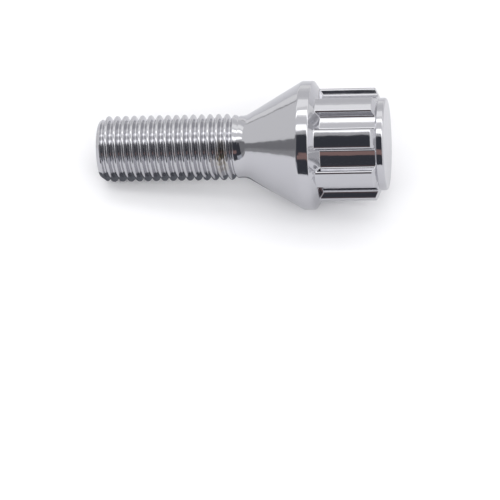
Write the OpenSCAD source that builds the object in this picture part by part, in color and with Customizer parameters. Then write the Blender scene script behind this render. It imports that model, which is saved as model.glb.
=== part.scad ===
// Locking wheel bolt with a splined drive head, a collar, a cone seat and a metric shank
// It stands on the flat end of its head, and the thread points up along +Z

/* [Thread and neck] */
// Nominal diameter of the thread
thread_d = 12; // [10:0.5:14]
// Pitch of the thread
thread_pitch = 1.5; // [1:0.25:2]
// Amount by which the plated crests stay under the nominal diameter
crest_allowance = 0.3; // [0:0.05:0.4]
// Length of the threaded part, with its chamfered tip
thread_len = 23.8; // [16:0.1:40]
// Width of the chamfer at the tip, across the radius
tip_chamfer = 0.85; // [0.3:0.05:1.6]
// Length of the chamfer at the tip, along the axis
tip_chamfer_len = 1.2; // [0.3:0.05:2]
// Length of the plain neck between the cone seat and the thread
neck_len = 2.4; // [1.2:0.1:8]
// Amount by which the neck's diameter is under the nominal diameter
neck_relief = 0.8; // [0.5:0.05:1.5]
// Radius of the blend between the cone seat and the neck
neck_blend_r = 1.4; // [0.2:0.1:2]

/* [Cone seat and collar] */
// Included angle of the cone seat
seat_angle = 60; // [50:1:90]
// Diameter of the collar
collar_d = 22.4; // [21.5:0.1:28]
// Width of the collar band, with its two rounded edges
collar_w = 1.95; // [1.5:0.05:6]
// Radius of the collar's edge towards the cone seat
seat_edge_r = 0.6; // [0.1:0.05:1]
// Radius of the collar's edge towards the head
back_edge_r = 0.35; // [0.1:0.05:0.6]
// Angle between the collar's back face and the axis
back_angle = 58; // [45:1:75]

/* [Splined head] */
// Height of the head, from its flat end to the collar's back edge
head_h = 12.6; // [9:0.1:20]
// Diameter over the ribs
rib_d = 19.5; // [18:0.1:21]
// Width of a rib
rib_w = 3.4; // [2:0.05:4.2]
// Number of ribs
rib_count = 8; // [5:1:9]
// Angle by which the last rib is turned from its even place, as the lock's code
code_angle = -5; // [-6:0.5:6]
// Radius of the long edges of a rib
rib_edge_r = 0.4; // [0.1:0.05:0.5]
// Diameter over the round floors of the grooves
root_d = 16.8; // [16.5:0.1:17.2]
// Length of the slope at the free end of a rib
rib_nose = 0.8; // [0.3:0.05:2]

/* [End of the head] */
// Length of the plain round boss past the ribs
boss_len = 1.2; // [0.8:0.05:4]
// Diameter of the boss
boss_d = 16; // [14:0.1:16.4]
// Radius of the edge of the flat end
end_edge_r = 0.4; // [0.1:0.05:0.6]

/* [Hidden] */
$fn = 96;

crest_r = (thread_d - crest_allowance) / 2;
neck_r = (thread_d - neck_relief) / 2;
collar_r = collar_d / 2;
rib_r = rib_d / 2;
root_r = root_d / 2;
boss_r = boss_d / 2;
edge_overrun = 0.004;

// Heights above the flat end of the head
boss_top = head_h - (collar_r - boss_r) / tan(back_angle);
seat_bottom = head_h + collar_w;
neck_bottom = seat_bottom + (collar_r - neck_r) / tan(seat_angle / 2);
thread_bottom = neck_bottom + neck_len;
bolt_top = thread_bottom + thread_len;

// Corners of the half section
end_edge = [boss_r, 0];
back_foot = [boss_r, boss_top];
back_edge = [collar_r, head_h];
seat_edge = [collar_r, seat_bottom];
neck_corner = [neck_r, neck_bottom];
neck_end = [neck_r, thread_bottom];

// The area between a corner and the arc that rounds it off
// The corner lies between the neighbours a and b
module corner_area(corner, a, b, r) {
    to_a = (a - corner) / norm(a - corner);
    to_b = (b - corner) / norm(b - corner);
    half_angle = acos(to_a * to_b) / 2;
    touch = r / tan(half_angle);
    centre = corner + (to_a + to_b) / norm(to_a + to_b) * r / sin(half_angle);
    difference() {
        polygon([corner, corner + to_a * touch, centre, corner + to_b * touch]);
        translate(centre) circle(r);
    }
}

// Half section of the turned body, without the splines
module half_section() {
    difference() {
        union() {
            polygon([
                [0, 0],
                end_edge,
                back_foot,
                back_edge,
                seat_edge,
                neck_corner,
                neck_end,
                [crest_r, thread_bottom + crest_r - neck_r],
                [crest_r, bolt_top - tip_chamfer_len],
                [crest_r - tip_chamfer, bolt_top],
                [0, bolt_top]
            ]);
            corner_area(neck_corner, seat_edge, neck_end, neck_blend_r);
        }
        corner_area(end_edge, [0, 0], back_foot, end_edge_r);
        corner_area(back_edge, back_foot, seat_edge, back_edge_r);
        corner_area(seat_edge, back_edge, neck_corner, seat_edge_r);
    }
}

// Cross-section of one rib on the +X side, with its two long edges rounded
// Each edge circle runs just past the rib's top, so that the two cross and don't only touch
module rib_section() {
    edge_y = rib_w / 2 - rib_edge_r;
    edge_x = sqrt(pow(rib_r - rib_edge_r + edge_overrun, 2) - pow(edge_y, 2));
    intersection() {
        circle(rib_r);
        union() {
            polygon([[0, 0], [edge_x, -edge_y] * 2, [edge_x, edge_y] * 2]);
            translate([0, -rib_w / 2]) square([edge_x, rib_w]);
            for (side = [-1, 1]) {
                translate([edge_x, side * edge_y]) circle(rib_edge_r);
            }
        }
    }
}

// Cross-section of the ribs and of the round floors of the grooves between them
module spline_section() {
    circle(root_r);
    for (i = [0 : rib_count - 1]) {
        rotate(i * 360 / rib_count + (i == rib_count - 1 ? code_angle : 0)) rib_section();
    }
}

// The splines, sloped at their free end and sunk into the collar at the other
module splines() {
    splines_bottom = boss_len / 2;
    splines_top = head_h + collar_w / 2;
    slope = rib_nose / (rib_r - boss_r);
    outside_r = rib_r + rib_edge_r;
    intersection() {
        translate([0, 0, splines_bottom]) linear_extrude(splines_top - splines_bottom) {
            spline_section();
        }
        rotate_extrude() polygon([
            [0, boss_len - boss_r * slope],
            [outside_r, boss_len + (outside_r - boss_r) * slope],
            [outside_r, splines_top],
            [0, splines_top]
        ]);
    }
}

module bolt() {
    color("silver") union() {
        rotate_extrude() half_section();
        splines();
    }
}

bolt();
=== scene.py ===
"""The looks of a locking wheel bolt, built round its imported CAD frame.

The bolt is one piece: a splined drive head, a collar, a cone seat, a plain neck and a rolled
right-hand thread, chrome plated all over. It stands on the flat end of its head, with the
thread along +Z. The stage lays a pale table under it, on which the bolt rests on its collar
and the tip of its thread.
"""

import math

import bmesh
import bpy
from bpy.props import FloatProperty, IntProperty, PointerProperty, StringProperty
from bpy.types import Operator, Panel, PropertyGroup
from mathutils import Matrix, Vector


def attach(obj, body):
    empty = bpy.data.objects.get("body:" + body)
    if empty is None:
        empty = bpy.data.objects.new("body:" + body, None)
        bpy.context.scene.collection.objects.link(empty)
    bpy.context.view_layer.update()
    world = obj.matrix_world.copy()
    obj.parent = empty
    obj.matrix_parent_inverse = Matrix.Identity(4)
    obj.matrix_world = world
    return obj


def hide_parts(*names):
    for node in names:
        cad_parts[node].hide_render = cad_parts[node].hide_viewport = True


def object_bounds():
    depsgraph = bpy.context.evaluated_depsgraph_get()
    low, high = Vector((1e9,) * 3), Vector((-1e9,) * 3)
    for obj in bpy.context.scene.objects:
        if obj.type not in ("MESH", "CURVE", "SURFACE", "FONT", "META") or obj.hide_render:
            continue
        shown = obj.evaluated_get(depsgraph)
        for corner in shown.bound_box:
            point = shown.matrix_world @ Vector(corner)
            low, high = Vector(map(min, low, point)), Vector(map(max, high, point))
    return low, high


bl_info = {
    "name": "Locking Wheel Bolt",
    "version": (1, 0, 0),
    "blender": (4, 5, 0),
    "location": "3D View > Sidebar > Wheel Bolt",
    "description": "Makes a chrome-plated locking wheel bolt and the pale table that it lies on",
    "category": "Add Mesh",
}

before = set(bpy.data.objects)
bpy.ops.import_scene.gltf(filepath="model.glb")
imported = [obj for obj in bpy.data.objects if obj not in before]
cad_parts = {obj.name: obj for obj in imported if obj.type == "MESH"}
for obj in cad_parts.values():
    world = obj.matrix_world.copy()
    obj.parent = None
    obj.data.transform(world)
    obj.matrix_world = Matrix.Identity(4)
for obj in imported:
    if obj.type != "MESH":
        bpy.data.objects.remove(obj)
CAD_LOW, CAD_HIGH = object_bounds()

MM = 0.001
Z_AXIS = Vector((0, 0, 1))
WHITE = "#FFFFFF"

# Points closer than this, in metres, count as one, in the head and in the thread, and a cut
# takes in what is closer than the last
MERGE = 1e-6
THREAD_MERGE = 2e-6
CUT_CLOSENESS = 1e-7

# Steps in which the head's lines and arcs are drawn
FOOT_STEPS = 4
SIDE_STEPS = 2
RIB_EDGE_STEPS = 6
LAND_STEPS = 8
FLOOR_STEPS = 10
COLLAR_EDGE_STEPS = 6
NECK_BLEND_STEPS = 8
END_EDGE_STEPS = 8
FINE_EDGE_STEPS = 3

# Steps in which the thread's profile and each of its turns are drawn
CREST_STEPS = 4
FLANK_STEPS = 2
ROOT_STEPS = 3
TURN_STEPS = 96

# The fine edges of the ribs' end slopes, and those where the ribs meet the collar's back face
NOSE_EDGE = 0.1 * MM
JUNCTION_EDGE = 0.14 * MM
# The neck ends this far below the thread, and faces bridge the gap
SHANK_GAP = 0.05 * MM
# Radii of the rings that close a flat end, as shares of its own
POLE_SHARES = (0.96, 0.5, 0.1)
# Slope of a flank from the axis, and the crests' share of the flats between the flanks
FLANK_SLOPE = math.radians(60)
CREST_SHARE = 0.75
# Edges that turn by more than this stay sharp
SHARP_FROM = math.radians(32)

# Length over which the plate gets duller towards the thread
DULL_OVER = 0.5 * MM
# Size of the blots in the stain, about 0.7 mm
BLOT_SIZE = MM / 1.4
# Share of the stain's size within which it is full, and the most that it covers
STAIN_CORE = 0.3
STAIN_COVER = 0.8
# Values of the blots' noise at which they start and are full
BLOT_START = 0.38
BLOT_FULL = 0.6

# The mix node's colour sockets share their names with others, so they go by number
MIX_FIRST = 6
MIX_SECOND = 7
MIX_RESULT = 2

# Half the width of the table, in metres
TABLE_HALF = 3.0
# The collar touches the table this far below its edge towards the cone seat
TOUCH_INSET = 0.2 * MM
# Height over the collar's radius from which angles of sight are counted
SIGHT_LIFT = 1.5 * MM
# Width of the camera's sensor in mm, and the nearest and farthest that it sees in metres
SENSOR_WIDTH = 36
CLIP_START = 0.01
CLIP_END = 20

# Share of their strength at which all the cards glow
CARD_LEVEL = 0.93
# What the cards are covered with: colour, and strength of the light that they give off
CARD_FINISHES = {
    "black_flag": ("#44464D", 1.0),
    # A dark card that stands in for the shade under the bolt, as a painted shadow in reflections
    "painted_shadow_card": ("#6A6C72", 1.0),
    "end_wall": (WHITE, 1.7),
    "pale_foot": ("#C4C8D0", 1.0),
    "brown_band": ("#9C807C", 1.0),
    "grey_flag": ("#8E8E91", 1.0),
    "grey_flag_foot": ("#A6A6A8", 1.0),
    "grey_frame": ("#CBCBCD", 1.0),
    "strip_light": (WHITE, 2.3),
    "soft_box": ("#F8F8FA", 1.0),
    "soft_box_back": (WHITE, 1.25),
    "strip_light_back": (WHITE, 2.4),
    "back_grey": (WHITE, 1.05),
    "back_pale": (WHITE, 1.35),
    "back_dim": ("#ECECEE", 1.0),
    "back_wall": (WHITE, 1.1),
    "back_line": ("#808084", 1.0),
}

# Painted shadow: a dark card just over the table under the bolt, seen only in reflections, stands
# in for the shade there. Its height, and its corners in mm towards the tip and the camera
SHADOW_CARD_HIGH = 0.1 * MM
SHADOW_CARD_CORNERS = ((40, 7.4), (17, 7.0), (13, 2.6), (-2, 2.6), (-2, -3), (40, -3))
# The wall past the head: its place, and its corners in mm towards the camera and over the table
END_WALL_LEFT = -700 * MM
END_WALL_CORNERS = ((-400, 250), (200, 250), (200, 650), (-400, 650))

# Places on the flag, measured from the collar towards the tip
FLAG_SHANK = 32 * MM
FLAG_FAR = 700 * MM
# Parts of the flag: name, left end, right end, lowest and highest angle of sight in degrees,
# finish
FLAG_PARTS = (
    ("flag_low", "shank", "head", -8, 20, "black_flag"),
    ("flag_foot", "tip", "shank", 10, 20, "black_flag"),
    ("pale_foot", "tip", "shank", -8, 10, "pale_foot"),
    ("flag_band", "shank", "head", 20, 31, "brown_band"),
    ("flag_shank", "tip", "shank", 20, 31, "black_flag"),
    ("flag_high", "tip", "head", 31, 63, "black_flag"),
    ("flag_side", "far", "tip", 12, 63, "grey_flag"),
    ("flag_side_foot", "far", "tip", -9, 12, "grey_flag_foot"),
)
# Cards on an arc over the bolt: name, lowest and highest angle over the table and skew of the
# low edge in degrees, finish
OVERHEAD_CARDS = (
    ("edge_grey", 62, 69, 0, "grey_frame"),
    ("strip_front", 70, 82, 3, "strip_light"),
    ("soft_box", 82, 98, 0, "soft_box"),
    ("soft_box_back", 98, 101, 0, "soft_box_back"),
    ("strip_back", 101, 110.5, 0, "strip_light_back"),
    ("back_grey", 112, 118, 0, "back_grey"),
    ("back_pale", 118, 135, 0, "back_pale"),
    ("back_dim", 141, 159, 0, "back_dim"),
)
# Cards behind the bolt: name, left and right end, lowest and highest edge in mm, finish
BACK_OUT = -600 * MM
BACK_CARDS = (
    ("back_wall", 1000, -1000, 0, 140, "back_wall"),
    ("back_line", 1000, 200, 140, 163, "back_line"),
)

# Lamps: name, angle over the table in degrees, length and width in metres, power in watts
LAMPS = (
    ("lamp_front", 76, 1.2, 0.12, 0.55),
    ("lamp_back", 106, 1.2, 0.12, 0.45),
    ("lamp_fill", 44, 0.8, 0.25, 1.6),
)


def length(name, description, default_mm):
    """A length property, given in millimetres and kept in metres."""
    return FloatProperty(
        name=name,
        description=description,
        default=default_mm * MM,
        unit="LENGTH",
        subtype="DISTANCE",
        precision=5,
    )


def angle(name, description, default_deg):
    """An angle property, given in degrees and kept in radians."""
    return FloatProperty(
        name=name,
        description=description,
        default=math.radians(default_deg),
        unit="ROTATION",
        subtype="ANGLE",
    )


def share(name, description, default):
    """A property that holds a share between 0 and 1."""
    return FloatProperty(name=name, description=description, default=default, min=0, max=1)


def colour(name, description, default):
    """A colour property that holds an sRGB hex value."""
    return StringProperty(name=name, description=description, default=default)


class WheelBoltHead(PropertyGroup):
    """Sizes of the splined head and the boss at its end."""

    root_d: length("Groove floors", "Diameter over the round floors of the grooves", 16.8)
    rib_d: length("Rib diameter", "Diameter over the ribs", 19.5)
    rib_w: length("Rib width", "Width of a rib", 3.4)
    rib_count: IntProperty(name="Ribs", description="Number of ribs", default=8, min=5, max=9)
    code_angle: angle("Code angle", "Turn of the last rib from its even place", -5)
    rib_edge_r: length("Rib edges", "Radius of the long edges of a rib", 0.4)
    rib_foot_r: length("Rib feet", "Radius between a rib's side and the groove floor", 0.42)
    rib_nose: length("Rib end slope", "Length of the slope at a rib's free end", 0.8)
    boss_len: length("Boss length", "Length of the plain boss past the ribs", 1.2)
    boss_d: length("Boss diameter", "Diameter of the boss", 16)
    end_edge_r: length("End edge", "Radius of the edge of the flat end", 0.4)


class WheelBoltSeat(PropertyGroup):
    """Sizes of the collar, the cone seat and the neck."""

    head_h: length("Head height", "From the flat end to the collar's back edge", 12.6)
    collar_d: length("Collar diameter", "Diameter of the collar", 22.4)
    collar_w: length("Collar width", "Width of the collar band with its edges", 1.95)
    back_angle: angle("Back angle", "Angle between the collar's back face and the axis", 58)
    seat_angle: angle("Seat angle", "Included angle of the cone seat", 60)
    back_edge_r: length("Back edge", "Radius of the collar's edge towards the head", 0.35)
    seat_edge_r: length("Seat edge", "Radius of the collar's edge towards the seat", 0.6)
    neck_d: length("Neck diameter", "Diameter of the plain neck", 10.8)
    neck_len: length("Neck length", "Length of the plain neck up to the first groove", 0.9)
    neck_blend_r: length("Neck blend", "Radius of the blend between the seat and the neck", 2.2)


class WheelBoltThread(PropertyGroup):
    """Sizes of the rolled thread."""

    pitch: length("Pitch", "Pitch of the thread", 1.5)
    crest_d: length("Crest diameter", "Diameter over the plated crests", 11.56)
    depth: length("Depth", "Depth from the crests to the roots", 0.76)
    crest_r: length("Crest rounding", "Radius of the edges of the crests", 0.26)
    root_r: length("Root rounding", "Radius of the roots", 0.22)
    top: length("Tip height", "Height of the tip over the head's flat end", 50.45)
    crest_run: length("Crest run-out", "Length over which the crests sink to the neck", 2.2)
    root_run: length("Root run-out", "Length over which the grooves end at the neck", 0.8)
    chamfer: length("Tip chamfer", "Width of the tip chamfer across the radius", 0.85)
    chamfer_len: length("Chamfer length", "Length of the tip chamfer along the axis", 1.2)
    start: length("Start", "Height of a crest above the +X direction, at the tip", 49.0)


class WheelBoltLook(PropertyGroup):
    """Plating and the marks on it."""

    plate: colour("Plate", "Colour of the chrome plate", "#C4C4C8")
    roughness: share("Roughness", "Roughness of the plate on the head", 0.09)
    thread_roughness: share("Thread roughness", "Roughness of the plate on the thread", 0.12)
    dull_from: length("Dull from", "Height from which the plate is duller", 25.5)
    wave_size: length("Wave size", "Size of the waves in the surface", 2.8)
    wave_height: length("Wave height", "Height of the waves in the surface", 0.034)
    stain: colour("Stain", "Colour of the stain on the thread", "#94876F")
    stain_z: length("Stain height", "Height of the middle of the stain", 28.4)
    stain_r: length("Stain radius", "Distance of the middle of the stain from the axis", 5.8)
    stain_turn: angle("Stain turn", "Turn of the stain from the camera direction", -24)
    stain_size: length("Stain size", "Half the length of the stain round the bolt", 4.0)
    stain_stretch: FloatProperty(
        name="Stain stretch",
        description="How many times the stain is longer round the bolt than along it",
        default=2.6,
    )


class WheelBoltStage(PropertyGroup):
    """Camera, table and studio."""

    focal: FloatProperty(
        name="Focal length",
        description="Focal length of the camera",
        default=180.0,
        subtype="DISTANCE_CAMERA",
    )
    front: angle("Front", "Direction of the camera around the bolt's axis, from +X", -96.1)
    camera_out: length("Camera distance", "Distance of the camera from the bolt's axis", 431.22)
    camera_down: length("Camera drop", "Distance of the camera below the flat end", 41.48)
    camera_pan: angle("Camera pan", "Turn of the camera towards the bolt's tip", 8.6854)
    camera_tilt: angle("Camera tilt", "Tilt of the camera, negative downwards", -2.371)
    camera_roll: angle("Camera roll", "Turn of the camera round its line of sight", -1.069)
    table_turn: angle("Table turn", "Turn of the table's upright from the camera direction", 44.9)
    flag_out: length("Flag distance", "Distance from the bolt to the dark card in front", 115)
    flag_left: length("Flag, left", "Reach of the dark card from the collar to the tip's side", 85)
    flag_right: length("Flag, right", "Reach of the dark card to the head's side", 110)
    box_out: length("Soft box distance", "Distance from the bolt to the soft box", 600)
    white: colour("White", "Colour of the table", "#FCFCFD")
    # Painted shade: a greyer copy of the table's white, which only reflections see
    mirrored: colour("White in reflections", "Colour of the table in reflections", "#E5E5E7")
    fill: colour("Fill", "Colour of the studio's light from all sides", "#E4E4E6")
    room: colour("Room", "Colour of the studio in reflections", "#EEEEEF")


PROPERTY_GROUPS = {
    "wheel_bolt_head": WheelBoltHead,
    "wheel_bolt_seat": WheelBoltSeat,
    "wheel_bolt_thread": WheelBoltThread,
    "wheel_bolt_look": WheelBoltLook,
    "wheel_bolt_stage": WheelBoltStage,
}


# Mesh making


class Pen:
    """Draws a chain of edges in a plane, as a turner's profile is drawn: straight runs and arcs."""

    def __init__(self, bm, place, heading, normal):
        self.bm = bm
        self.vert = bm.verts.new(place)
        self.heading = Vector(heading)
        self.normal = Vector(normal)

    def line(self, run, steps=1):
        """Runs straight on for this length."""
        for _ in range(steps):
            self.vert = bmesh.ops.extrude_vert_indiv(self.bm, verts=[self.vert])["verts"][0]
            self.vert.co += self.heading * (run / steps)

    def arc(self, radius, turn, steps):
        """Turns to the left by a positive angle, or to the right by a negative one."""
        side = self.normal.cross(self.heading) * (1 if turn > 0 else -1)
        centre = self.vert.co + side * radius
        spun = bmesh.ops.spin(
            self.bm, geom=[self.vert], cent=centre, axis=self.normal, angle=turn, steps=steps
        )
        self.vert = verts_in(spun["geom_last"])[0]
        self.heading = Matrix.Rotation(turn, 3, self.normal) @ self.heading


def verts_in(geometry):
    """The vertices among what an operator gives back."""
    return [g for g in geometry if isinstance(g, bmesh.types.BMVert)]


def edges_in(geometry):
    """The edges among what an operator gives back."""
    return [g for g in geometry if isinstance(g, bmesh.types.BMEdge)]


def verts_of(edges):
    """The vertices at the ends of these edges, each one once."""
    return {v for e in edges for v in e.verts}


def radius_of(vert):
    """Distance of a vertex from the axis."""
    return math.hypot(vert.co.x, vert.co.y)


def move_to(vert, radius, height):
    """Moves a vertex straight out or in to this radius, at this height."""
    factor = radius / radius_of(vert)
    vert.co = Vector((vert.co.x * factor, vert.co.y * factor, height))


def merge_close(bm, closeness=MERGE):
    """Merges the vertices that are closer than this."""
    bmesh.ops.remove_doubles(bm, verts=bm.verts[:], dist=closeness)


def next_ring(bm, ring, radius, height):
    """Extrudes a closed ring of edges to a circle of this radius and height."""
    grown = bmesh.ops.extrude_edge_only(bm, edges=ring)["geom"]
    for vert in verts_in(grown):
        move_to(vert, radius, height)
    return edges_in(grown)


def ring_at(bm, radius, height):
    """The edges of the ring that lies at this radius and height."""
    near = {
        v for v in bm.verts if abs(radius_of(v) - radius) < MERGE and abs(v.co.z - height) < MERGE
    }
    return [e for e in bm.edges if e.verts[0] in near and e.verts[1] in near]


def round_edges(bm, edges, offset, steps):
    """Rounds edges with arcs that start this far from them."""
    bmesh.ops.bevel(
        bm,
        geom=edges,
        offset=offset,
        offset_type="OFFSET",
        segments=steps,
        profile=0.5,
        affect="EDGES",
        material=-1,
        clamp_overlap=True,
    )


def round_ring(bm, ring, radius, turn, steps):
    """Rounds a ring with an arc of this radius, where the profile turns by this angle."""
    round_edges(bm, ring, radius * math.tan(turn / 2), steps)


def close_with_pole(bm, ring, radius, height):
    """Closes a flat end with inner rings and a pole."""
    for pole_share in POLE_SHARES:
        ring = next_ring(bm, ring, radius * pole_share, height)
    bmesh.ops.pointmerge(bm, verts=list(verts_of(ring)), merge_co=(0, 0, height))


def spline_outline(bm, head):
    """Cross-section of the splined head as a closed ring of edges, rib 0 in the middle of +X."""
    root, top, half = head.root_d / 2, head.rib_d / 2, head.rib_w / 2
    edge, foot = head.rib_edge_r, head.rib_foot_r
    edge_x = math.sqrt((top - edge) ** 2 - (half - edge) ** 2)
    foot_x = math.sqrt((root + foot) ** 2 - (half + foot) ** 2)
    land_half = math.atan2(half - edge, edge_x)
    foot_half = math.atan2(half + foot, foot_x)
    edge_turn = math.pi / 2 - land_half
    foot_turn = math.pi / 2 - foot_half
    even = math.tau / head.rib_count
    middles = [i * even for i in range(head.rib_count)]
    middles[-1] += head.code_angle
    place = (root * math.cos(-foot_half), root * math.sin(-foot_half), 0)
    pen = Pen(bm, place, (math.sin(foot_half), math.cos(foot_half), 0), Z_AXIS)
    for i, middle in enumerate(middles):
        pen.arc(foot, -foot_turn, FOOT_STEPS)
        pen.line(edge_x - foot_x, SIDE_STEPS)
        pen.arc(edge, edge_turn, RIB_EDGE_STEPS)
        pen.arc(top, 2 * land_half, LAND_STEPS)
        pen.arc(edge, edge_turn, RIB_EDGE_STEPS)
        pen.line(edge_x - foot_x, SIDE_STEPS)
        pen.arc(foot, -foot_turn, FOOT_STEPS)
        following = middles[i + 1] if i + 1 < len(middles) else math.tau
        pen.arc(root, following - middle - 2 * foot_half, FLOOR_STEPS)
    merge_close(bm)
    return bm.edges[:]


def make_head_and_seat(bm, head, seat):
    """The head, boss, collar, cone seat and neck, drawn out ring by ring from the splines.

    It gives back the height at which the thread starts.
    """
    outline = spline_outline(bm, head)
    root, boss = head.root_d / 2, head.boss_d / 2
    collar, neck = seat.collar_d / 2, seat.neck_d / 2
    nose_slope = head.rib_nose / (head.rib_d / 2 - boss)
    seat_bottom = seat.head_h + seat.collar_w
    half_seat = seat.seat_angle / 2
    neck_bottom = seat_bottom + (collar - neck) / math.tan(half_seat)
    thread_bottom = neck_bottom + seat.neck_len

    # The splines start where they meet the collar's back face, and run from there to the boss
    for vert in bm.verts:
        vert.co.z = seat.head_h - (collar - radius_of(vert)) / math.tan(seat.back_angle)
    grown = bmesh.ops.extrude_edge_only(bm, edges=outline)["geom"]
    for vert in verts_in(grown):
        vert.co.z = head.boss_len + (radius_of(vert) - boss) * nose_slope
    ring = edges_in(grown)
    nose = [e for e in ring if max(radius_of(v) for v in e.verts) > root + MERGE]
    ring = next_ring(bm, ring, boss, head.boss_len)
    ring = next_ring(bm, ring, boss, 0)
    close_with_pole(bm, ring, boss - head.end_edge_r, 0)

    # From the same place the rings go the other way, over the collar and up the cone seat
    ring = next_ring(bm, outline, collar, seat.head_h)
    ring = next_ring(bm, ring, collar, seat_bottom)
    ring = next_ring(bm, ring, neck, neck_bottom)
    next_ring(bm, ring, neck, thread_bottom - SHANK_GAP)

    round_edges(bm, nose, NOSE_EDGE, FINE_EDGE_STEPS)
    round_edges(bm, [e for e in outline if e.is_valid], JUNCTION_EDGE, FINE_EDGE_STEPS)
    merge_close(bm)
    back_ring = ring_at(bm, collar, seat.head_h)
    round_ring(bm, back_ring, seat.back_edge_r, seat.back_angle, COLLAR_EDGE_STEPS)
    seat_ring = ring_at(bm, collar, seat_bottom)
    round_ring(bm, seat_ring, seat.seat_edge_r, half_seat, COLLAR_EDGE_STEPS)
    neck_ring = ring_at(bm, neck, neck_bottom)
    round_ring(bm, neck_ring, seat.neck_blend_r, half_seat, NECK_BLEND_STEPS)
    end_ring = ring_at(bm, boss, 0)
    round_ring(bm, end_ring, head.end_edge_r, math.pi / 2, END_EDGE_STEPS)
    return thread_bottom


def wind_thread(bm, thread, bottom):
    """The thread's profile, drawn along the axis and wound up by one pitch a turn."""
    rounding = thread.crest_r + thread.root_r
    arcs_across = rounding * (1 - math.cos(FLANK_SLOPE))
    flank = (thread.depth - arcs_across) / math.sin(FLANK_SLOPE)
    arcs_along = rounding * math.sin(FLANK_SLOPE)
    flats = thread.pitch / 2 - arcs_along - flank * math.cos(FLANK_SLOPE)
    crest_half = flats * CREST_SHARE
    root_half = flats * (1 - CREST_SHARE)
    turns_down = math.ceil((thread.start - bottom) / thread.pitch) + 1
    turns = turns_down + math.ceil((thread.top - thread.start) / thread.pitch)

    place = (thread.crest_d / 2, 0, thread.start - turns_down * thread.pitch)
    pen = Pen(bm, place, Z_AXIS, (0, -1, 0))
    for _ in range(turns):
        pen.line(crest_half)
        pen.arc(thread.crest_r, FLANK_SLOPE, CREST_STEPS)
        pen.line(flank, FLANK_STEPS)
        pen.arc(thread.root_r, -FLANK_SLOPE, ROOT_STEPS)
        pen.line(2 * root_half)
        pen.arc(thread.root_r, -FLANK_SLOPE, ROOT_STEPS)
        pen.line(flank, FLANK_STEPS)
        pen.arc(thread.crest_r, FLANK_SLOPE, CREST_STEPS)
        pen.line(crest_half)
    bmesh.ops.spin(
        bm,
        geom=bm.verts[:] + bm.edges[:],
        cent=(0, 0, 0),
        axis=Z_AXIS,
        dvec=(0, 0, thread.pitch / TURN_STEPS),
        angle=math.tau,
        steps=TURN_STEPS,
    )
    merge_close(bm, THREAD_MERGE)


def make_thread(bm, thread, neck, bottom):
    """The helical thread, with its run-out at the neck and its chamfered tip."""
    wind_thread(bm, thread, bottom)
    crest, top = thread.crest_d / 2, thread.top

    # Crests and grooves ease out into the neck, and the chamfer takes down the crests at the tip
    for vert in bm.verts:
        radius, height = radius_of(vert), vert.co.z
        run = thread.crest_run if radius > neck else thread.root_run
        faded = min(max((height - bottom) / run, 0), 1)
        radius = neck + (radius - neck) * faded * faded * (3 - 2 * faded)
        into_tip = height - (top - thread.chamfer_len)
        if into_tip > 0:
            radius = min(radius, crest - into_tip * thread.chamfer / thread.chamfer_len)
        move_to(vert, radius, height)
    for height, direction in ((bottom, -1), (top, 1)):
        bmesh.ops.bisect_plane(
            bm,
            geom=bm.verts[:] + bm.edges[:] + bm.faces[:],
            dist=CUT_CLOSENESS,
            plane_co=(0, 0, height),
            plane_no=(0, 0, direction),
            clear_outer=True,
        )
    ends = [e for e in bm.edges if e.is_boundary]
    tip = [e for e in ends if all(abs(v.co.z - top) < MERGE for v in e.verts)]
    for vert in verts_of(tip):
        move_to(vert, crest - thread.chamfer, top)
    close_with_pole(bm, tip, crest - thread.chamfer, top)


def mesh_from(bm, name):
    """Turns drawn geometry into a mesh and frees the drawing."""
    mesh = bpy.data.meshes.new(name)
    bm.to_mesh(mesh)
    bm.free()
    return mesh


def add_object(name, data):
    """Puts an object with this data in the scene."""
    made = bpy.data.objects.new(name, data)
    bpy.context.scene.collection.objects.link(made)
    return made


def make_bolt_mesh(head, seat, thread):
    """The whole bolt as one closed mesh."""
    bm = bmesh.new()
    bottom = make_head_and_seat(bm, head, seat)
    shank = bmesh.new()
    make_thread(shank, thread, seat.neck_d / 2, bottom)
    mesh = mesh_from(shank, "bolt_body")
    bm.from_mesh(mesh)
    bmesh.ops.bridge_loops(bm, edges=[e for e in bm.edges if e.is_boundary])
    merge_close(bm)
    bmesh.ops.dissolve_degenerate(bm, dist=MERGE, edges=bm.edges[:])
    bmesh.ops.recalc_face_normals(bm, faces=bm.faces[:])
    if any(not e.is_manifold for e in bm.edges):
        raise RuntimeError("The bolt's mesh isn't closed")
    bm.to_mesh(mesh)
    bm.free()
    return mesh


# Materials


def linear(hex_colour):
    """Turns an sRGB hex value into linear red, green, blue and an alpha of 1."""
    parts = [int(hex_colour[i : i + 2], 16) / 255 for i in (1, 3, 5)]
    return [c / 12.92 if c <= 0.04045 else ((c + 0.055) / 1.055) ** 2.4 for c in parts] + [1.0]


def node(tree, kind, settings=None, inputs=None, links=None):
    """Adds a node, sets its properties and sockets, and links outputs to its inputs."""
    made = tree.nodes.new(kind)
    for key, value in (settings or {}).items():
        setattr(made, key, value)
    for key, value in (inputs or {}).items():
        made.inputs[key].default_value = value
    for key, output in (links or {}).items():
        tree.links.new(output, made.inputs[key])
    return made


def new_material(name):
    """An empty material with its output node."""
    material = bpy.data.materials.new(name)
    material.use_nodes = True
    material.node_tree.nodes.clear()
    return material, material.node_tree, node(material.node_tree, "ShaderNodeOutputMaterial")


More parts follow.
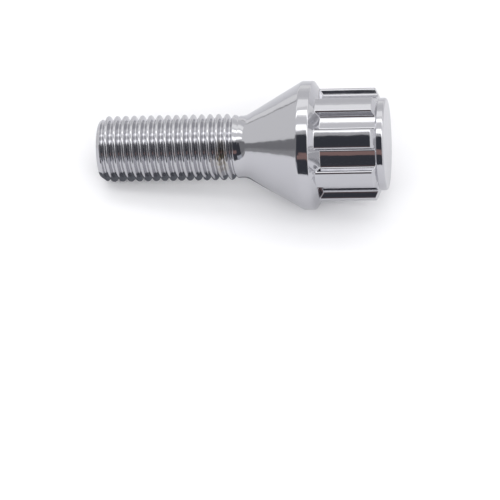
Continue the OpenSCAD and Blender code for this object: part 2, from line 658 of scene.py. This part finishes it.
def stain_share(tree, place, look, front):
    """How much of the plate the stain covers at a place."""
    turn = front + look.stain_turn
    middle = Vector((look.stain_r * math.cos(turn), look.stain_r * math.sin(turn), look.stain_z))
    offset = node(
        tree, "ShaderNodeVectorMath", {"operation": "SUBTRACT"}, {1: middle}, {0: place}
    ).outputs[0]
    stretched = node(
        tree,
        "ShaderNodeVectorMath",
        {"operation": "MULTIPLY"},
        {1: (1, 1, look.stain_stretch)},
        {0: offset},
    ).outputs[0]
    distance = node(
        tree, "ShaderNodeVectorMath", {"operation": "LENGTH"}, links={0: stretched}
    ).outputs["Value"]
    blots = node(
        tree,
        "ShaderNodeTexNoise",
        inputs={"Scale": 1 / BLOT_SIZE, "Detail": 3.0},
        links={"Vector": place},
    ).outputs["Fac"]
    near = node(
        tree,
        "ShaderNodeMapRange",
        inputs={
            "From Min": look.stain_size,
            "From Max": look.stain_size * STAIN_CORE,
            "To Min": 0.0,
            "To Max": 1.0,
        },
        links={"Value": distance},
    ).outputs["Result"]
    patchy = node(
        tree,
        "ShaderNodeMapRange",
        inputs={
            "From Min": BLOT_START,
            "From Max": BLOT_FULL,
            "To Min": 0.0,
            "To Max": STAIN_COVER,
        },
        links={"Value": blots},
    ).outputs["Result"]
    return node(
        tree, "ShaderNodeMath", {"operation": "MULTIPLY"}, links={0: near, 1: patchy}
    ).outputs[0]


def chrome_plate(look, front):
    """Bright chrome, electroplated over turned and rolled steel."""
    material, tree, output = new_material("electroplated_chrome")
    place = node(tree, "ShaderNodeTexCoord").outputs["Object"]
    height = node(tree, "ShaderNodeSeparateXYZ", links={0: place}).outputs["Z"]

    # The bar was forged and turned before plating, so the surface waves and reflections wobble
    wave = node(
        tree,
        "ShaderNodeTexNoise",
        inputs={"Scale": 1 / look.wave_size, "Detail": 1.5},
        links={"Vector": place},
    )
    bump = node(
        tree,
        "ShaderNodeBump",
        inputs={"Strength": 1.0, "Distance": look.wave_height},
        links={"Height": wave.outputs["Fac"]},
    )

    # Rolling left the thread duller than the head, so its reflections are softer
    dullness = node(
        tree,
        "ShaderNodeMapRange",
        inputs={
            "From Min": look.dull_from,
            "From Max": look.dull_from + DULL_OVER,
            "To Min": look.roughness,
            "To Max": look.thread_roughness,
        },
        links={"Value": height},
    ).outputs["Result"]

    # A patchy brown stain lies on the first turns of the thread, longer round them than along
    tone = node(
        tree,
        "ShaderNodeMix",
        {"data_type": "RGBA"},
        {MIX_FIRST: linear(look.plate), MIX_SECOND: linear(look.stain)},
        {"Factor": stain_share(tree, place, look, front)},
    ).outputs[MIX_RESULT]

    shader = node(
        tree,
        "ShaderNodeBsdfPrincipled",
        inputs={"Metallic": 1.0},
        links={"Base Color": tone, "Roughness": dullness, "Normal": bump.outputs["Normal"]},
    )
    tree.links.new(shader.outputs["BSDF"], output.inputs["Surface"])
    return material


def table_white(hex_colour, shaded_table_hex):
    """Matt white laminate, pressed smooth, so that it shows soft shadows and no gloss."""
    material, tree, output = new_material("matt_white_laminate")
    side = node(tree, "ShaderNodeNewGeometry").outputs
    ray = node(tree, "ShaderNodeLightPath").outputs

    # Painted shade: glossy rays see a greyer copy of the table, which stands in for the shade on the
    # table near the bolt, so the plate mirrors it a little greyer than the camera sees it
    tone = node(
        tree,
        "ShaderNodeMix",
        {"data_type": "RGBA"},
        {MIX_FIRST: linear(hex_colour), MIX_SECOND: linear(shaded_table_hex)},
        {"Factor": ray["Is Glossy Ray"]},
    ).outputs[MIX_RESULT]
    matt = node(tree, "ShaderNodeBsdfDiffuse", links={"Color": tone}).outputs[0]

    # From below, the table is clear and doesn't hide the bolt
    clear = node(tree, "ShaderNodeBsdfTransparent").outputs[0]
    mixed = node(tree, "ShaderNodeMixShader", links={0: side["Backfacing"], 1: matt, 2: clear})
    tree.links.new(mixed.outputs[0], output.inputs["Surface"])
    return material


def glow(name, hex_colour, strength):
    """A card's cover, which gives off even light of its own for the plate to mirror."""
    material, tree, output = new_material(name)
    level = {"Color": linear(hex_colour), "Strength": strength * CARD_LEVEL}
    light = node(tree, "ShaderNodeEmission", inputs=level)
    tree.links.new(light.outputs[0], output.inputs["Surface"])
    return material


# Stage


def camera_side(stage):
    """The direction across the bolt's axis that faces the camera."""
    return Vector((math.cos(stage.front), math.sin(stage.front), 0))


class TablePlaces:
    """Places on and over the table, measured from where the bolt's collar touches it.

    Left runs along the bolt to its tip, out runs towards the camera, and high is over the table.
    """

    def __init__(self, stage, seat, thread):
        front = camera_side(stage)
        upright = Matrix.Rotation(stage.table_turn, 3, Z_AXIS) @ front
        collar, crest = seat.collar_d / 2, thread.crest_d / 2
        rim = seat.head_h + seat.collar_w - TOUCH_INSET

        # The bolt lies on the collar's rim and on the last crest, so the table leans on its axis
        run = CAD_HIGH.z - thread.chamfer_len - rim
        lean = math.atan2(collar - crest, run)
        self.up = upright * math.cos(lean) - Z_AXIS * math.sin(lean)
        self.touch = -upright * collar + Z_AXIS * rim
        self.across = (Z_AXIS - self.up * Z_AXIS.dot(self.up)).normalized()
        near = self.across.cross(self.up)
        self.near = -near if near.dot(front) < 0 else near
        self.sight_high = collar + SIGHT_LIFT

    def at(self, left, out, high):
        """The place at these three distances."""
        return self.touch + self.across * left + self.near * out + self.up * high

    def overhead(self, left, reach, degrees, middle=0):
        """The place this far from a line at the middle height, at this angle over the table."""
        turn = math.radians(degrees)
        return self.at(left, reach * math.cos(turn), middle + reach * math.sin(turn))

    def upright(self, out, left, right, low, high):
        """The corners of an upright card that stands across the line of sight."""
        corners = ((left, low), (right, low), (right, high), (left, high))
        return [self.at(along, out, over) for along, over in corners]


def lay_table(stage, places):
    """The wide table that the bolt lies on."""
    bm = bmesh.new()
    turn = places.up.to_track_quat("Z", "Y").to_matrix().to_4x4()
    place = Matrix.Translation(places.touch) @ turn
    bmesh.ops.create_grid(bm, x_segments=2, y_segments=2, size=TABLE_HALF, matrix=place)
    mesh = mesh_from(bm, "table")
    table = add_object("table", mesh)
    mesh.materials.append(table_white(stage.white, stage.mirrored))


def card(name, corners, material):
    """A flat stage card between its corners, which only reflections show."""
    bm = bmesh.new()
    bm.faces.new([bm.verts.new(c) for c in corners])
    mesh = mesh_from(bm, name)
    made = add_object(name, mesh)
    mesh.materials.append(material)
    made.visible_camera = made.visible_diffuse = made.visible_shadow = False


def set_up_cards(stage, places):
    """The painted-shadow card under the bolt, the wall past the head, the flag in front, the soft
    box and the cards behind.
    """
    finishes = {name: glow(name, *finish) for name, finish in CARD_FINISHES.items()}

    # Painted shadow: the dark card under the bolt darkens the bolt's underside in reflections, where
    # the table lies in shade
    shadow_card_corners = [places.at(left * MM, out * MM, SHADOW_CARD_HIGH) for left, out in SHADOW_CARD_CORNERS]
    card("painted_shadow_card", shadow_card_corners, finishes["painted_shadow_card"])
    wall = [places.at(END_WALL_LEFT, out * MM, high * MM) for out, high in END_WALL_CORNERS]
    card("end_wall", wall, finishes["end_wall"])

    flag_out = stage.flag_out
    ends = {
        "head": -stage.flag_right,
        "shank": FLAG_SHANK,
        "tip": stage.flag_left,
        "far": FLAG_FAR,
    }
    for name, left, right, low, high, finish in FLAG_PARTS:
        low_at, high_at = (
            places.sight_high + flag_out * math.tan(math.radians(sight)) for sight in (low, high)
        )
        corners = places.upright(flag_out, ends[left], ends[right], low_at, high_at)
        card(name, corners, finishes[finish])

    reach = stage.box_out
    for name, low, high, skew, finish in OVERHEAD_CARDS:
        edges = ((reach, low + skew), (-reach, low - skew), (-reach, high), (reach, high))
        corners = [places.overhead(left, reach, over, places.sight_high) for left, over in edges]
        card(name, corners, finishes[finish])

    for name, left, right, low, high, finish in BACK_CARDS:
        corners = places.upright(BACK_OUT, left * MM, right * MM, low * MM, high * MM)
        card(name, corners, finishes[finish])


def light_room(scene, stage):
    """Even light from all sides, a plain room in reflections and pure white for the camera."""
    world = bpy.data.worlds.new("studio")
    scene.world = world
    world.use_nodes = True
    world.node_tree.nodes.clear()
    tree = world.node_tree
    ray = node(tree, "ShaderNodeLightPath").outputs
    fill, room, white = (
        node(tree, "ShaderNodeBackground", inputs={"Color": linear(tone), "Strength": 1.0}).outputs[0]
        for tone in (stage.fill, stage.room, WHITE)
    )
    mirrored = node(tree, "ShaderNodeMixShader", links={0: ray["Is Glossy Ray"], 1: fill, 2: room})
    seen = node(
        tree,
        "ShaderNodeMixShader",
        links={0: ray["Is Camera Ray"], 1: mirrored.outputs[0], 2: white},
    )
    node(tree, "ShaderNodeOutputWorld", links={"Surface": seen.outputs[0]})


def hang_lamps(stage, places):
    """Two long lamps overhead and a broad one in front.

    The long ones make shadows that are sharp across the bolt and soft along it, and the broad
    one fills them.
    """
    across = places.across
    for name, degrees, long, wide, watts in LAMPS:
        lamp = bpy.data.lights.new(name, "AREA")
        lamp.shape = "RECTANGLE"
        lamp.size = long
        lamp.size_y = wide
        lamp.energy = watts
        holder = add_object(name, lamp)
        holder.visible_glossy = False
        place = places.overhead(0.0, stage.box_out, degrees)
        back = (place - places.touch).normalized()
        turn = Matrix((across, back.cross(across), back)).transposed()
        holder.matrix_world = Matrix.Translation(place) @ turn.to_4x4()


def place_camera(scene, stage):
    """The camera, level with the bolt's axis at first, and then turned, tilted and rolled."""
    camera = bpy.data.cameras.new("photo_camera")
    camera.sensor_width = SENSOR_WIDTH
    camera.lens = stage.focal
    camera.clip_start = CLIP_START
    camera.clip_end = CLIP_END
    holder = add_object("photo_camera", camera)
    front = camera_side(stage)
    level = Matrix((-Z_AXIS, Z_AXIS.cross(front), front)).transposed()
    pan = Matrix.Rotation(stage.camera_pan, 3, "Y")
    tilt = Matrix.Rotation(stage.camera_tilt, 3, "X")
    roll = Matrix.Rotation(stage.camera_roll, 3, "Z")
    place = front * stage.camera_out - Z_AXIS * stage.camera_down
    holder.matrix_world = Matrix.Translation(place) @ (level @ pan @ tilt @ roll).to_4x4()
    scene.camera = holder


# Operators


class WHEELBOLT_OT_bolt(Operator):
    """Makes the bolt's plated body, which stands for the CAD node"""

    bl_idname = "wheelbolt.bolt"
    bl_label = "Make the Bolt"

    def execute(self, context):
        scene = context.scene
        mesh = make_bolt_mesh(
            scene.wheel_bolt_head, scene.wheel_bolt_seat, scene.wheel_bolt_thread
        )
        mesh.shade_smooth()
        mesh.set_sharp_from_angle(angle=SHARP_FROM)
        body = add_object("bolt_body", mesh)
        weighted = body.modifiers.new("even_normals", "WEIGHTED_NORMAL")
        weighted.keep_sharp = True
        mesh.materials.append(chrome_plate(scene.wheel_bolt_look, scene.wheel_bolt_stage.front))
        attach(body, "root")
        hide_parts("bolt")
        return {"FINISHED"}


class WHEELBOLT_OT_stage(Operator):
    """Makes the table, the studio light and the camera"""

    bl_idname = "wheelbolt.stage"
    bl_label = "Make the Stage"

    def execute(self, context):
        scene = context.scene
        stage = scene.wheel_bolt_stage
        places = TablePlaces(stage, scene.wheel_bolt_seat, scene.wheel_bolt_thread)
        lay_table(stage, places)
        set_up_cards(stage, places)
        light_room(scene, stage)
        hang_lamps(stage, places)
        place_camera(scene, stage)
        scene.view_settings.view_transform = "Standard"
        return {"FINISHED"}


class VIEW3D_PT_wheel_bolt(Panel):
    """Sidebar panel of the wheel bolt"""

    bl_label = "Wheel Bolt"
    bl_space_type = "VIEW_3D"
    bl_region_type = "UI"
    bl_category = "Wheel Bolt"

    def draw(self, context):
        layout = self.layout
        for name in PROPERTY_GROUPS:
            group = getattr(context.scene, name)
            box = layout.box()
            for key in group.__annotations__:
                box.prop(group, key)
        for operator in OPERATORS:
            layout.operator(operator.bl_idname)


OPERATORS = (WHEELBOLT_OT_bolt, WHEELBOLT_OT_stage)


def register():
    for name, group in PROPERTY_GROUPS.items():
        bpy.utils.register_class(group)
        setattr(bpy.types.Scene, name, PointerProperty(type=group))
    for cls in OPERATORS + (VIEW3D_PT_wheel_bolt,):
        bpy.utils.register_class(cls)


def unregister():
    for cls in (VIEW3D_PT_wheel_bolt,) + OPERATORS:
        bpy.utils.unregister_class(cls)
    for name, group in PROPERTY_GROUPS.items():
        delattr(bpy.types.Scene, name)
        bpy.utils.unregister_class(group)


def main():
    register()
    bpy.ops.wheelbolt.bolt()
    bpy.ops.wheelbolt.stage()


if __name__ == "__main__":
    main()
